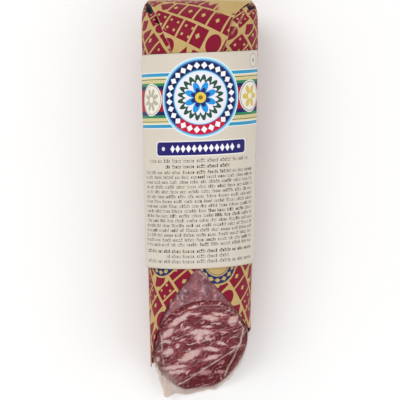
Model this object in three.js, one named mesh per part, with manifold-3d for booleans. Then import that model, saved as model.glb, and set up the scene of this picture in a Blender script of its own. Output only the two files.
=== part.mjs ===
// Half a cured sausage as a shop sells it: the cut sausage in its natural casing and end tie, a clear
// vacuum pouch shrunk round it, a straw-paper wrapper with a pointed window and a folded end, and a label.
// Millimetres, +Z up. It lies on its back: X across, +Y towards the folded end, +Z through the label.
import * as THREE from "three";
import { mergeVertices } from "three/addons/utils/BufferGeometryUtils.js";
import Module from "manifold-3d";

const wasm = await Module();
wasm.setup();

// Driving dimensions of the wrapped body.
const wrapRadius = 29.95; // outside of the paper at mid length
const taper = 0.0195; // millimetres of radius gained per millimetre towards +Y
const restDepth = 1.4; // how far the round underside is pressed flat
const segments = 48; // facets round every layer, lined up from layer to layer
const gap = 0.3; // clearance between one layer and the next

// Thickness of each layer.
const paperThickness = 0.4;
const filmThickness = 0.3;
const casingThickness = 0.4;
const labelThickness = 0.3;

// How deep each layer's outside lies under the outside of the paper.
const filmInset = paperThickness + gap;
const casingInset = filmInset + filmThickness + gap;
const meatInset = casingInset + casingThickness + gap;

// The bias cut that shows the meat.
const cutY = -81; // where the cut crosses the axis
const cutSlope = 1.0; // rise of the cut per millimetre of length: 45 degrees
const cutSkew = 0.13; // millimetres the cut runs up the length for each one to the right

// The closed end of the sausage.
const shoulderY = 78; // where the dome starts
const meatDome = 19;
const domeSteps = 8;
const neckRadius = 3;
const neckLength = 4;
const ruffleRadius = 5;
const ruffleLength = 2.4;
const twineRadius = 0.9;

// The vacuum pouch.
const ruffleClearance = 1.6;
const pouchVentRadius = 3; // the tube through which the air was drawn
const lipThickness = 0.5;
const lipLeast = 0.3; // the pouch's welded lip stands this far past the cut's rim at least
const lipBelow = 2.4; // and this much more under the cut
const tailLength = 3.2; // the gathered corner of the pouch
const tailAngle = THREE.MathUtils.degToRad(222);
const tailSpread = THREE.MathUtils.degToRad(13);

// The paper wrapper: its window, its tip and its folded end.
const windowApexY = -34.1;
const windowApexAngle = THREE.MathUtils.degToRad(-2);
const leftEdgeSlope = 1.25; // millimetres down per millimetre round, left of the apex
const rightEdgeSlope = 1.0;
const rightTurnAngle = THREE.MathUtils.degToRad(60); // where the right edge eases off
const sideAngle = THREE.MathUtils.degToRad(90);
const sideEdgeY = -68; // the paper's edge at the right side
const tipAngle = THREE.MathUtils.degToRad(256);
const tipY = -101;
const foldReach = 20.8; // how far the end takes to close
const foldClearance = 2.4; // from the pouch's tip to the closed end
const foldLeastHeight = 3; // half height of the closing edge
const foldNarrowing = 0.16;
const foldSquareness = 1.6;
const foldSteps = 10;
const flapRise = 0.6; // how proud the folded flap stands
const flapBite = 0.3; // how deep it is joined to the wrapper
const flapLowY = 84.3;
const flapHighTurn = THREE.MathUtils.degToRad(62); // how far round the closing end the flap starts
const flapLow = { left: -17.6, right: 13.2 };
const flapHigh = { left: -25, right: 25 };

// The label.
const labelWidth = 83;
const labelHeight = 116;
const labelCentreY = 22.9;
const labelTilt = THREE.MathUtils.degToRad(2.1);

const domeTipY = shoulderY + meatDome + gap + casingThickness;
const ruffleY = domeTipY + neckLength + ruffleLength;
const pouchDome = ruffleY + ruffleClearance + filmThickness - shoulderY;
const closedY = shoulderY + pouchDome + foldClearance + paperThickness;
const foldY = closedY - foldReach; // where the end starts to close

const angles = Array.from({ length: segments }, (_, i) => (2 * Math.PI * i) / segments);

const outerRadius = (y) => wrapRadius + taper * y;
const axisHeight = (y) => outerRadius(y) - restDepth;

// A point of the layer that lies inset under the paper's outside. Angle 0 is the top, and it grows to +X.
// The outside is pressed flat where it rests, and every layer follows it.
function layerPoint(y, angle, inset) {
  const radius = outerRadius(y);
  const outside = Math.max(0, axisHeight(y) + radius * Math.cos(angle));
  return new THREE.Vector3((radius - inset) * Math.sin(angle), y, outside - inset * Math.cos(angle));
}

const layerRing = (inset, yAt) => angles.map((angle) => layerPoint(yAt(angle), angle, inset));

// Where the cut, moved out by the given distance along its normal, meets a layer at an angle.
// The layers taper, so the place is found by a few rounds of the same sum.
function cutAt(angle, inset, outwards) {
  const start = cutY - outwards * Math.hypot(1, 1 / cutSlope, cutSkew);
  let y = start;
  for (let round = 0; round < 6; round++) {
    const { x, z } = layerPoint(y, angle, inset);
    y = start + (z - axisHeight(cutY)) / cutSlope + cutSkew * x;
  }
  return y;
}

const cutRing = (inset, outwards) => layerRing(inset, (angle) => cutAt(angle, inset, outwards));

// Rings of an elliptic dome from its shoulder to a tip of the given radius, the shoulder's own ring first.
// Each ring is the shoulder's section made smaller. Each point then stands off it along the dome's normal, so
// that one layer stays a gap away from the next.
function domeRings(reach, inset, tipRadius, standOff = 0) {
  const radius = outerRadius(shoulderY) - inset;
  const last = Math.acos(tipRadius / radius);
  const centre = new THREE.Vector3(0, shoulderY, axisHeight(shoulderY));
  return Array.from({ length: domeSteps + 1 }, (_, i) => {
    const turn = (last * i) / domeSteps;
    const out = new THREE.Vector2(reach * Math.cos(turn), radius * Math.sin(turn)).setLength(standOff);
    return angles.map((angle) => {
      const point = layerPoint(shoulderY, angle, inset).lerp(centre, 1 - Math.cos(turn));
      const offset = new THREE.Vector3(out.x * Math.sin(angle), out.y, out.x * Math.cos(angle));
      return point.add(offset).setY(shoulderY + reach * Math.sin(turn) + out.y);
    });
  });
}

// A plain ring round the axis of the closed end.
function roundRing(y, radius) {
  const centre = axisHeight(shoulderY);
  return angles.map((a) => new THREE.Vector3(radius * Math.sin(a), y, centre + radius * Math.cos(a)));
}

// A closed body through a run of rings, each end closed by a fan to its middle. Its faces point out.
function skin(rings) {
  const points = rings.flat();
  const count = rings[0].length;
  const faces = [];
  for (let r = 0; r + 1 < rings.length; r++) {
    for (let i = 0; i < count; i++) {
      const next = (i + 1) % count;
      const [a, b] = [r * count + i, r * count + next];
      faces.push(a, b, b + count, a, b + count, a + count);
    }
  }
  const middle = (ring) =>
    ring.reduce((sum, p) => sum.add(p), new THREE.Vector3()).divideScalar(count);
  const first = points.push(middle(rings[0])) - 1;
  const last = points.push(middle(rings[rings.length - 1])) - 1;
  const end = (rings.length - 1) * count;
  for (let i = 0; i < count; i++) {
    const next = (i + 1) % count;
    faces.push(first, next, i, last, end + i, end + next);
  }
  return closedGeometry(points, faces);
}

// An indexed geometry with its faces turned outwards.
function closedGeometry(points, faces) {
  const corner = (i) => points[faces[i]];
  let volume = 0;
  for (let i = 0; i < faces.length; i += 3) {
    volume += corner(i).dot(corner(i + 1).clone().cross(corner(i + 2)));
  }
  if (volume < 0) faces.reverse();
  const geometry = new THREE.BufferGeometry().setFromPoints(points);
  geometry.setIndex(faces);
  geometry.computeVertexNormals();
  return geometry;
}

// A closed plate over a grid: low and high give its two faces at (column, row).
function plate(columns, rows, low, high) {
  const points = [];
  const faces = [];
  for (const face of [low, high]) {
    for (let r = 0; r <= rows; r++) {
      for (let c = 0; c <= columns; c++) points.push(face(c / columns, r / rows));
    }
  }
  const width = columns + 1;
  const other = width * (rows + 1);
  const quad = (a, b, c, d) => faces.push(a, b, c, a, c, d);
  for (let r = 0; r < rows; r++) {
    for (let c = 0; c < columns; c++) {
      const a = r * width + c;
      quad(a, a + width, a + width + 1, a + 1);
      quad(other + a, other + a + 1, other + a + width + 1, other + a + width);
    }
  }
  for (let c = 0; c < columns; c++) {
    const top = rows * width + c;
    quad(c, c + 1, other + c + 1, other + c);
    quad(top + 1, top, other + top, other + top + 1);
  }
  for (let r = 0; r < rows; r++) {
    const [left, right] = [r * width, r * width + columns];
    quad(left + width, left, other + left, other + left + width);
    quad(right, right + width, other + right + width, other + right);
  }
  return closedGeometry(points, faces);
}

function solidOf(geometry) {
  const bare = geometry.clone();
  bare.deleteAttribute("normal");
  bare.deleteAttribute("uv");
  const merged = mergeVertices(bare, 1e-4);
  return new wasm.Manifold(
    new wasm.Mesh({
      numProp: 3,
      vertProperties: new Float32Array(merged.attributes.position.array),
      triVerts: new Uint32Array(merged.index.array),
    }),
  );
}

function geometryOf(solid) {
  const mesh = solid.getMesh();
  const geometry = new THREE.BufferGeometry();
  geometry.setAttribute("position", new THREE.BufferAttribute(mesh.vertProperties, 3));
  geometry.setIndex(new THREE.BufferAttribute(mesh.triVerts, 1));
  geometry.computeVertexNormals();
  return geometry;
}

function sausageMeat() {
  return skin([...domeRings(meatDome, meatInset, neckRadius).reverse(), cutRing(meatInset, 0)]);
}

// The natural casing: a sleeve with a domed end that is gathered into a neck and a ruffle.
function casing() {
  const domeAt = (standOff) => domeRings(meatDome, meatInset, neckRadius, standOff);
  const outside = [
    roundRing(ruffleY, ruffleRadius),
    roundRing(ruffleY - ruffleLength, neckRadius),
    roundRing(domeTipY, neckRadius),
    ...domeAt(gap + casingThickness).slice(0, -1).reverse(),
    cutRing(casingInset, 0),
  ];
  return skin([...outside, cutRing(meatInset - gap, 0), ...domeAt(gap)]);
}

// The turn of twine that closes the casing.
function endTie() {
  const geometry = new THREE.TorusGeometry(neckRadius + gap + twineRadius, twineRadius, 10, 32);
  geometry.rotateX(Math.PI / 2);
  geometry.translate(0, domeTipY + neckLength / 2, axisHeight(shoulderY));
  return geometryOf(solidOf(geometry));
}

// How far the pouch's welded lip stands past the rim of the cut, gathered into a tail at one corner.
function lipAt(angle) {
  const under = Math.max(0, -Math.cos(angle));
  const fromTail = (angle - tailAngle) / tailSpread;
  return lipLeast + lipBelow * under + tailLength * Math.exp(-fromTail * fromTail);
}

// The vacuum pouch: a thin bag on the casing and over the cut, with a welded lip round the cut's rim.
function vacuumPouch() {
  const outwards = gap + filmThickness;
  const cavity = filmInset + filmThickness;
  const reach = (ring) => ring.map((p, i) => p.clone().setY(p.y - lipAt(angles[i])));
  const rim = cutRing(filmInset, outwards);
  const lipInside = cutRing(filmInset + lipThickness, outwards);
  const domeAt = (standOff) => domeRings(pouchDome - filmThickness, cavity, pouchVentRadius, standOff);
  const outside = [lipInside, reach(lipInside), reach(rim), ...domeAt(filmThickness)];
  return skin([...outside, ...domeAt(0).reverse(), cutRing(cavity, gap)]);
}

// The paper's lower edge: straight slants down both sides of the window, then round the back to the tip.
function paperEdge(angle) {
  const round = (a) => a * outerRadius(windowApexY);
  const left = tipAngle - 2 * Math.PI;
  const turn = angle > tipAngle ? angle - 2 * Math.PI : angle;
  if (turn <= windowApexAngle) {
    const drop = leftEdgeSlope * round(windowApexAngle - turn);
    const share = THREE.MathUtils.smoothstep(turn, left, -sideAngle);
    return THREE.MathUtils.lerp(tipY, windowApexY - drop, share);
  }
  const rightY = windowApexY - rightEdgeSlope * round(rightTurnAngle - windowApexAngle);
  if (turn <= rightTurnAngle) {
    return windowApexY - rightEdgeSlope * round(turn - windowApexAngle);
  }
  if (turn <= sideAngle) {
    const share = (turn - rightTurnAngle) / (sideAngle - rightTurnAngle);
    return THREE.MathUtils.lerp(rightY, sideEdgeY, Math.sin((share * Math.PI) / 2));
  }
  return THREE.MathUtils.lerp(sideEdgeY, tipY, (turn - sideAngle) / (tipAngle - sideAngle));
}

// The section of the closing end: it keeps its width and loses its height, as folded paper does.
function foldSection(turn, inset) {
  const radius = outerRadius(foldY) - inset;
  const narrowed = 1 - Math.cos(turn);
  return {
    halfWidth: radius * (1 - foldNarrowing * narrowed * narrowed),
    halfHeight: Math.max(radius * Math.cos(turn), foldLeastHeight - inset),
    squareness: 2 + foldSquareness * Math.sin(turn),
  };
}

function foldRing(turn, inset) {
  const { halfWidth, halfHeight, squareness } = foldSection(turn, inset);
  const bulge = (v) => Math.sign(v) * Math.pow(Math.abs(v), 2 / squareness);
  const y = foldY + (foldReach - inset) * Math.sin(turn);
  return angles.map((angle) => {
    const height = (halfHeight + inset) * bulge(Math.cos(angle));
    const z = Math.max(0, axisHeight(foldY) + height) - inset * bulge(Math.cos(angle));
    return new THREE.Vector3(halfWidth * bulge(Math.sin(angle)), y, z);
  });
}

const foldTurns = Array.from({ length: foldSteps + 1 }, (_, i) => ((Math.PI / 2) * i) / foldSteps);

// A point of the wrapper's outside on its front at the width x, this far round the closing end.
function foldPoint(x, turn) {
  const { halfWidth, halfHeight, squareness } = foldSection(turn, 0);
  const across = Math.min(1, Math.abs(x) / halfWidth);
  const share = Math.pow(1 - Math.pow(across, squareness), 1 / squareness);
  return new THREE.Vector3(x, foldY + foldReach * Math.sin(turn), axisHeight(foldY) + halfHeight * share);
}

// The wrapper: a paper tube with a pointed window, closed at one end and folded over onto its front.
function paperWrapper() {
  const folds = (inset) => foldTurns.map((turn) => foldRing(turn, inset));
  const outside = [...folds(0).reverse(), layerRing(0, paperEdge)];
  const inside = [layerRing(paperThickness, paperEdge), ...folds(paperThickness)];
  const flapPoint = (lift) => (across, along) => {
    const left = THREE.MathUtils.lerp(flapLow.left, flapHigh.left, along);
    const right = THREE.MathUtils.lerp(flapLow.right, flapHigh.right, along);
    const point = foldPoint(THREE.MathUtils.lerp(left, right, across), flapHighTurn * along);
    return along === 0 ? point.set(point.x, flapLowY, point.z + lift) : point.setZ(point.z + lift);
  };
  const flap = plate(14, 7, flapPoint(-flapBite), flapPoint(flapRise));
  return geometryOf(solidOf(skin([...outside, ...inside])).add(solidOf(flap)));
}

// The label, laid on the paper's front a little askew.
function paperLabel() {
  const labelPoint = (lift) => (across, along) => {
    const u = (across - 0.5) * labelWidth;
    const v = (along - 0.5) * labelHeight;
    const round = u * Math.cos(labelTilt) - v * Math.sin(labelTilt);
    const y = labelCentreY + v * Math.cos(labelTilt) + u * Math.sin(labelTilt);
    return layerPoint(y, round / outerRadius(y), -lift);
  };
  return plate(22, 4, labelPoint(gap), labelPoint(gap + labelThickness));
}

const sausage = new THREE.Group();

function piece(name, geometry, colour, roughness, options = {}) {
  const material = new THREE.MeshStandardMaterial({ color: colour, roughness, metalness: 0, ...options });
  const mesh = new THREE.Mesh(geometry, material);
  mesh.name = name;
  sausage.add(mesh);
}

piece("sausage_meat", sausageMeat(), 0x84404a, 0.45);
piece("casing", casing(), 0xb08c88, 0.55);
piece("end_tie", endTie(), 0xe3dccb, 0.9);
piece("vacuum_pouch", vacuumPouch(), 0xe8e4e0, 0.15, { transparent: true, opacity: 0.3 });
piece("paper_wrapper", paperWrapper(), 0xc3a76c, 0.8);
piece("label", paperLabel(), 0xdcd4c6, 0.6);

// The origin is on the surface it rests on, under the middle of its length.
sausage.position.y = -new THREE.Box3().setFromObject(sausage).getCenter(new THREE.Vector3()).y;

export default sausage;
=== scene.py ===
"""Half a cured sausage in clear film, printed straw paper and a label, built round its packed frame."""

import math

import bpy
import numpy as np
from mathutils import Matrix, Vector


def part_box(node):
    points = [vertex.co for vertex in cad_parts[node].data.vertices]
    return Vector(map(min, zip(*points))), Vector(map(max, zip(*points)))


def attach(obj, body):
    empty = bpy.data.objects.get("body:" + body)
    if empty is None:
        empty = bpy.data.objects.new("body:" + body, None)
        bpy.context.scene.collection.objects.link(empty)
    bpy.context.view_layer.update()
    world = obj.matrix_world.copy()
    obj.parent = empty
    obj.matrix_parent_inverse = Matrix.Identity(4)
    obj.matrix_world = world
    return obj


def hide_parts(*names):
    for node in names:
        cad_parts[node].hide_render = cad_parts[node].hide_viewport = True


bl_info = {
    "name": "Wrapped half sausage",
    "version": (1, 0, 0),
    "blender": (4, 5, 0),
    "location": "3D View > Sidebar > Sausage",
    "description": "Builds a bias-cut cured sausage with its casing, film, printed paper and label",
    "category": "Add Mesh",
}

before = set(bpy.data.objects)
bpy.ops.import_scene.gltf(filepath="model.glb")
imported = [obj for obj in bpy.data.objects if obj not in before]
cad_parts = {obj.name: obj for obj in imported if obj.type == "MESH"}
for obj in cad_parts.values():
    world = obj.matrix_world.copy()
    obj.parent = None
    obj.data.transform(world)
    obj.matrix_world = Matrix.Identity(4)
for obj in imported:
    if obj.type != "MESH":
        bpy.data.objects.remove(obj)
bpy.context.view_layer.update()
WRAP_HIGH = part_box("paper_wrapper")[1]
MEAT_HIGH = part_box("sausage_meat")[1]
LABEL_LOW, LABEL_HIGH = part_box("label")
TIE_LOW, TIE_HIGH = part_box("end_tie")
POUCH_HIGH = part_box("vacuum_pouch")[1]

MM = 0.001
DEG = math.pi / 180
# The closed end starts to fold at FOLD_Y, and reaches this much further.
FOLD_REACH = 20.8 * MM
FOLD_Y = WRAP_HIGH.y - FOLD_REACH


# ---------------------------------------------------------------- sizes and colours that a user may change

def length(name, description, default, low=0.0):
    """A length property in metres."""
    return bpy.props.FloatProperty(
        name=name, description=description, default=default, min=low, precision=5,
        subtype="DISTANCE", unit="LENGTH")


def angle(name, description, degrees):
    """An angle property, given in degrees."""
    return bpy.props.FloatProperty(
        name=name, description=description, default=degrees * DEG, subtype="ANGLE", unit="ROTATION")


def linear(value):
    """An sRGB hex colour, such as #c3a76c, as linear red, green, blue and alpha."""
    parts = [int(value[i:i + 2], 16) / 255 for i in (1, 3, 5)]
    return tuple(c / 12.92 if c < 0.04045 else ((c + 0.055) / 1.055) ** 2.4 for c in parts) + (1.0,)


def colour(name, description, value):
    """A colour property, given as sRGB hex."""
    return bpy.props.FloatVectorProperty(
        name=name, description=description, default=linear(value), size=4, min=0, max=1, subtype="COLOR")


class SausageBody(bpy.types.PropertyGroup):
    """The round body that every layer follows."""
    radius: length("Radius", "Outside of the paper where the end starts to fold", WRAP_HIGH.x)
    taper: bpy.props.FloatProperty(
        name="Taper", description="Radius lost per length from there", default=0.0245)
    rest: length("Pressed flat", "How far the underside is pressed flat", 1.4 * MM)
    cut_y: length("Cut", "Where the bias cut crosses the axis", -79.5 * MM, -1)
    cut_skew: bpy.props.FloatProperty(
        name="Skew", description="How far the cut runs up for each width to the right", default=0.13)
    cut_sag: length("Sag", "How much further the soft lower lip of the cut reaches", 5.2 * MM)


class SausageMeat(bpy.types.PropertyGroup):
    """The cured pork and its casing."""
    inset: length("Depth", "Meat's surface below the paper's outside", 2.1 * MM)
    casing_inset: length("Casing depth", "Casing's outside below the paper's outside", 1.3 * MM)
    dome: length("Closed end", "Length of the rounded closed end", 19 * MM)
    lean: colour("Lean", "Cured lean pork", "#83242f")
    dark_lean: colour("Dark lean", "Drier, deeper lean", "#5c111c")
    pale_lean: colour("Pale lean", "Lean with fine fat through it", "#a6535a")
    fat: colour("Fat", "Back fat", "#dfc3bf")


class SausageFilm(bpy.types.PropertyGroup):
    """The clear vacuum film."""
    inset: length("Depth", "Film below the paper's outside", 0.75 * MM)
    stand_off: length("Stand-off", "How far the film stands off the cut face", 0.5 * MM)
    crease: length("Crease", "Height of a crease in the film", 0.9 * MM)
    # The haze colour: milky film where gathered, and along the creases also painted highlight.
    haze_and_highlight: colour("Haze", "Film where it is gathered and creased", "#d8c2b4")


class SausagePaper(bpy.types.PropertyGroup):
    """The printed straw-paper wrapper."""
    thickness: length("Thickness", "Paper thickness", 0.25 * MM)
    row: length("Row", "Pitch of the printed rows", 13.0 * MM)
    mark: length("Mark", "Mean width of a printed mark", 8.2 * MM)
    row_angle: angle("Row angle", "How steeply the printed rows run down to the right", 51)
    straw: colour("Straw", "Unbleached straw paper", "#c6aa70")
    ink: colour("Ink", "Crimson print", "#84082a")


class SausageLabel(bpy.types.PropertyGroup):
    """The printed front label."""
    width: length("Width", "Width of the flat label", 83 * MM)
    height: length("Height", "Height of the flat label", 116 * MM)
    tilt: angle("Tilt", "How askew the label was laid", 2.1)
    aside: length("Aside", "How far the label sits to the left of the middle", 1.5 * MM)
    lift: length("Lift", "Label's back above the paper's outside", 0.3 * MM)
    thickness: length("Thickness", "Label thickness", 0.16 * MM)
    cream: colour("Cream", "Label stock", "#dbd1c2")


class SausageStage(bpy.types.PropertyGroup):
    """Floor, lights and camera."""
    distance: length("Distance", "Camera to the height of the sausage's axis", 1166 * MM)
    lean: angle("Lean", "How far the camera leans towards the folded end", 4)
    lens: bpy.props.FloatProperty(name="Lens", description="Focal length", default=190.8, unit="CAMERA")
    floor: colour("Floor", "Pale floor", "#fdfdfc")


GROUPS = {
    "sausage_body": SausageBody, "sausage_meat": SausageMeat, "sausage_film": SausageFilm,
    "sausage_paper": SausagePaper, "sausage_label": SausageLabel, "sausage_stage": SausageStage,
}


# ---------------------------------------------------------------- shape of the body

def radius_at(y):
    """Radius of the paper's outside at a place along the body."""
    body = bpy.context.scene.sausage_body
    return body.radius - body.taper * (FOLD_Y - y)


def axis_at(y):
    """Height of the body's axis above the floor."""
    return radius_at(y) - bpy.context.scene.sausage_body.rest


def on_body(y, turn, inset):
    """Points at a depth below the paper's outside. Turn 0 is the top, and it grows to +X."""
    radius = radius_at(y)
    outside = np.maximum(0, axis_at(y) + radius * np.cos(turn))
    return np.stack([(radius - inset) * np.sin(turn), y + 0 * turn, outside - inset * np.cos(turn)], -1)


def cut_y(turn, inset, outwards=0.0):
    """Where the bias cut, moved outwards, meets a layer. The body tapers, so it is found in a few rounds."""
    body = bpy.context.scene.sausage_body
    start = body.cut_y - outwards * math.sqrt(2 + body.cut_skew ** 2)
    y = start + 0 * turn
    for _ in range(6):
        point = on_body(y, turn, inset)
        rise = point[..., 2] - axis_at(body.cut_y)
        sag = body.cut_sag * np.clip(-rise / body.radius, 0, 1) ** 2
        y = start + rise + body.cut_skew * point[..., 0] - sag
    return y


def step(value, low, high):
    """0 below low and 1 above high, smooth between."""
    t = np.clip((value - low) / (high - low), 0, 1)
    return t * t * (3 - 2 * t)


def bump(value, centre, width):
    """1 at the centre, fading to nothing over about twice the width."""
    return np.exp(-((value - centre) / width) ** 2)


def lumps(points, seed, size):
    """Smooth unevenness between about -1 and 1 at points, of waves about this size in seeded directions."""
    rng = np.random.default_rng(seed)
    waves = 24
    total = 0
    for _ in range(waves):
        direction = rng.normal(size=3)
        direction *= rng.uniform(0.6, 1.5) * 2 * math.pi / size / np.linalg.norm(direction)
        total = total + np.sin(points @ direction + rng.uniform(0, 7))
    return total / math.sqrt(waves / 2) / 1.6


def spread(*values):
    """Values side by side for each point of a grid."""
    return np.stack(np.broadcast_arrays(*values), -1)


def normals_of(points):
    """Unit normals of a grid of points whose rows run down, facing out as its faces do."""
    normal = np.cross(np.gradient(points, axis=0), np.gradient(points, axis=1))
    size = np.linalg.norm(normal, axis=-1, keepdims=True)
    return normal / np.maximum(size, 1e-12)


def grid_piece(name, points, closed, maps, values=None, thickness=0.0, outwards=1.0, upwards=False):
    """An object from a grid of points, with UV maps and point values. Its rows run down from the closed end,
    or upwards, and its columns to the right. A closed grid joins its last column to its first, and its maps
    have one more column. A row whose points coincide becomes one point."""
    rows, columns = points.shape[:2]
    spans = columns if closed else columns - 1
    r, c = np.meshgrid(np.arange(rows - 1), np.arange(spans), indexing="ij")
    corners = [(r, c), (r + 1, c), (r + 1, c + 1), (r, c + 1)]
    if upwards:
        corners.reverse()
    faces = np.stack([a * columns + b % columns for a, b in corners], -1).reshape(-1, 4)
    mesh = bpy.data.meshes.new(name)
    mesh.from_pydata(points.reshape(-1, 3).tolist(), [], faces.tolist())
    for key, uv in maps.items():
        layer = mesh.uv_layers.new(name=key)
        flat = np.stack([uv[a, b] for a, b in corners], 2).reshape(-1)
        layer.data.foreach_set("uv", flat.astype(np.float32))
    for key, value in (values or {}).items():
        attribute = mesh.attributes.new(key, "FLOAT", "POINT")
        attribute.data.foreach_set("value", value.reshape(-1).astype(np.float32))
    mesh.polygons.foreach_set("use_smooth", np.ones(len(mesh.polygons), bool))
    piece = bpy.data.objects.new(name, mesh)
    bpy.context.scene.collection.objects.link(piece)
    weld = piece.modifiers.new("weld", "WELD")
    weld.merge_threshold = 0.002 * MM
    if thickness:
        solid = piece.modifiers.new("thickness", "SOLIDIFY")
        solid.thickness = thickness
        solid.offset = outwards
    return piece


def finish_piece(piece, material, slot, *nodes):
    """Gives a piece its material, and hands it to the frame."""
    piece.data.materials.append(material)
    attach(piece, "root")
    if nodes:
        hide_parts(*nodes)
    return piece


# ---------------------------------------------------------------- materials

CHOICE = {"Math": "operation", "VectorMath": "operation", "Mix": "data_type"}


def add(tree, kind, *inputs, **settings):
    """Adds a node with its settings, feeds its inputs in order with values or sockets, and returns its first
    output. A word after the kind is its operation or type. None leaves an input alone, and a setting that
    is an input's name with spaces as underscores feeds that input."""
    family, _, choice = kind.partition(" ")
    node = tree.nodes.new("ShaderNode" + family)
    if choice:
        setattr(node, CHOICE[family], choice)
    for key in [k for k in settings if hasattr(node, k)]:
        setattr(node, key, settings.pop(key))
    shown = [s for s in node.inputs if s.enabled]
    by_name = {s.name.replace(" ", "_"): s for s in shown}
    feeds = list(zip(shown, inputs)) + [(by_name[k], v) for k, v in settings.items()]
    for socket, value in feeds:
        if isinstance(value, bpy.types.NodeSocket):
            tree.links.new(value, socket)
        elif value is not None:
            socket.default_value = value
    return next(s for s in node.outputs if s.enabled) if node.outputs else node


def new_material(name):
    """An empty node material and its tree."""
    material = bpy.data.materials.new(name)
    material.use_nodes = True
    material.node_tree.nodes.clear()
    return material, material.node_tree


def paint(tree, under, mask, over):
    """Lays a colour over another where the mask is 1."""
    return add(tree, "Mix RGBA", mask, under, over)


def joined(tree, kind, masks):
    """Masks joined one after another by a maths node of this kind."""
    result = masks[0]
    for mask in masks[1:]:
        result = add(tree, kind, result, mask)
    return result


def both(tree, *masks):
    """1 where every mask is 1."""
    return joined(tree, "Math MULTIPLY", masks)


def either(tree, *masks):
    """1 where any mask is 1."""
    return joined(tree, "Math MAXIMUM", masks)


def without(tree, mask, hole):
    """1 where the mask is 1 and the hole is not."""
    return add(tree, "Math MULTIPLY", mask, add(tree, "Math SUBTRACT", 1.0, hole))


def within(tree, value, low, high):
    """1 where the value lies between low and high."""
    return add(tree, "Math COMPARE", value, (low + high) / 2, (high - low) / 2)


def length_of(tree, vector):
    """Length of a vector."""
    return add(tree, "VectorMath LENGTH", vector).node.outputs["Value"]


def disc(tree, at, centre, radius):
    """1 inside a disc."""
    gap = add(tree, "VectorMath DISTANCE", at, centre + (0,))
    return add(tree, "Math LESS_THAN", gap.node.outputs["Value"], radius)


def rounded_box(tree, at, centre, half, corner):
    """1 inside a box of half sizes with round corners."""
    offset = add(tree, "VectorMath ABSOLUTE", add(tree, "VectorMath SUBTRACT", at, centre + (0,)))
    core = (half[0] - corner, half[1] - corner, 1)
    past = add(tree, "VectorMath MAXIMUM", add(tree, "VectorMath SUBTRACT", offset, core), (0, 0, 0))
    return add(tree, "Math LESS_THAN", length_of(tree, past), corner)


def slanted(tree, at, centre, degrees):
    """Coordinates turned about a centre, which becomes their origin."""
    moved = add(tree, "VectorMath SUBTRACT", at, centre + (0,))
    return add(tree, "VectorRotate", moved, Angle=-degrees * DEG, rotation_type="Z_AXIS")


def across_and_along(tree, at):
    """The first two coordinates of a place."""
    parts = add(tree, "SeparateXYZ", at)
    return parts, parts.node.outputs["Y"]


def in_mm(tree, name):
    """A UV map laid out in millimetres."""
    return add(tree, "UVMap", uv_map=name)


def body_mm(tree):
    """Places on the whole object, in millimetres."""
    return add(tree, "VectorMath SCALE", add(tree, "TexCoord").node.outputs["Object"], Scale=1 / MM)


def point_value(tree, name):
    """A value that the mesh carries at its points."""
    return add(tree, "Attribute", attribute_name=name).node.outputs["Fac"]


def pushed_about(tree, at, noise, reach):
    """Places pushed about by a noise's colour, as far as half the reach each way."""
    shift = add(tree, "VectorMath SUBTRACT", noise.node.outputs["Color"], (0.5, 0.5, 0.5))
    return add(tree, "VectorMath MULTIPLY_ADD", shift, reach, at)


def cells(tree, feature, place, scale, randomness):
    """Cells of uneven width along a line."""
    return add(tree, "TexVoronoi", voronoi_dimensions="1D", feature=feature, W=place, Scale=scale,
               Randomness=randomness)


def lean_and_fat(tree, at, meat):
    """Coarse minced cure: lean that varies, hard fat grains, and thread-like streaks between them."""
    warp = add(tree, "TexNoise", at, Scale=0.09, Detail=2.0)
    bent = pushed_about(tree, at, warp, (9, 9, 9))
    drawn = add(tree, "Mapping", bent, Rotation=(0, 0, -38 * DEG))
    drawn = add(tree, "Mapping", drawn, Scale=(0.5, 1.25, 1.0))
    lean = add(tree, "TexNoise", drawn, Scale=0.2, Detail=4.0, Roughness=0.6)
    lean = add(tree, "MapRange", lean, 0.36, 0.66)
    tone = paint(tree, meat.dark_lean, lean, meat.lean)
    grains = add(tree, "TexNoise", drawn, Scale=0.55, Detail=3.0, Roughness=0.65)
    pale = add(tree, "MapRange", grains, 0.52, 0.66)
    tone = paint(tree, tone, add(tree, "Math MULTIPLY", pale, 0.75), meat.pale_lean)
    streaks = add(tree, "TexNoise", add(tree, "Mapping", drawn, Scale=(0.55, 2.0, 1.0)),
                  Scale=0.5, Detail=2.0, Roughness=0.5)
    fleck = add(tree, "MapRange", streaks, 0.6, 0.68)
    small = add(tree, "TexNoise", drawn, Scale=0.33, Detail=2.5, Distortion=0.2)
    grain = add(tree, "MapRange", small, 0.6, 0.66)
    return tone, either(tree, add(tree, "Math MULTIPLY", fleck, 0.7), grain)


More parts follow.
